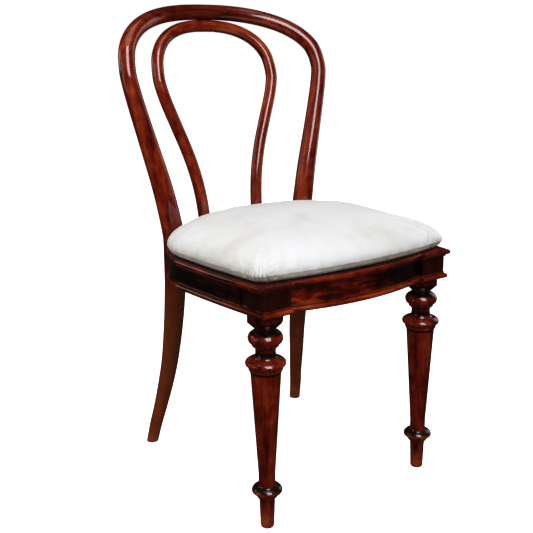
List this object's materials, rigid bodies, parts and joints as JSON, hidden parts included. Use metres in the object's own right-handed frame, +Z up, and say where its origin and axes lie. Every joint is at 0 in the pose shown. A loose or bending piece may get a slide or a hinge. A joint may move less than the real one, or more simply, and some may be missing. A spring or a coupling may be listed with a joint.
{
  "type": "balloon back chair",
  "caption": "Balloon back side chair: bent outer and inner hoop, moulded round seat frame with a bowed front, turned front legs, swept rear legs and a loose squab cushion.",
  "frame": {"origin": "on the floor under the middle of the chair, half way between the front of the lip and the back of the outer hoop", "axes": "+Z up, +X to the sitter's left, -Y towards the front"},
  "size_m": [0.4844, 0.5448, 0.896],
  "materials": {
    "mahogany": "polished red-brown mahogany with a high gloss",
    "dark_mahogany": "darkened polished mahogany of the frieze and the blocks inside",
    "linen": "white cotton cloth over a soft filling",
    "cane": "pale natural cane",
    "steel": "plain dull steel"
  },
  "bodies": {
    "chair": {"outer_hoop": "mahogany", "inner_hoop": "mahogany", "front_rail": "dark_mahogany", "side_rail_left": "dark_mahogany", "side_rail_right": "dark_mahogany", "back_rail": "dark_mahogany", "front_lip": "mahogany", "block_lip_left": "mahogany", "block_lip_right": "mahogany", "side_lip_left": "mahogany", "side_lip_right": "mahogany", "corner_lip_left": "mahogany", "corner_lip_right": "mahogany", "back_lip": "mahogany", "front_bead": "mahogany", "block_bead_left": "mahogany", "block_bead_right": "mahogany", "side_bead_left": "mahogany", "side_bead_right": "mahogany", "corner_bead_left": "mahogany", "corner_bead_right": "mahogany", "back_bead": "mahogany", "front_leg_left": "mahogany", "front_leg_right": "mahogany", "glue_block_left": "dark_mahogany", "glue_block_right": "dark_mahogany", "post_bolts": "steel", "post_washers": "steel", "post_nuts": "steel", "foot_screws": "steel", "crown_screws": "steel", "cane_panel": "cane", "cane_spline": "cane"},
    "cushion": {"cushion": "linen"}
  },
  "joints": [
    {"name": "cushion_lift", "type": "slide", "parent": "chair", "child": "cushion", "axis": [0, 0, 1], "range_m": [0, 0.15]}
  ]
}
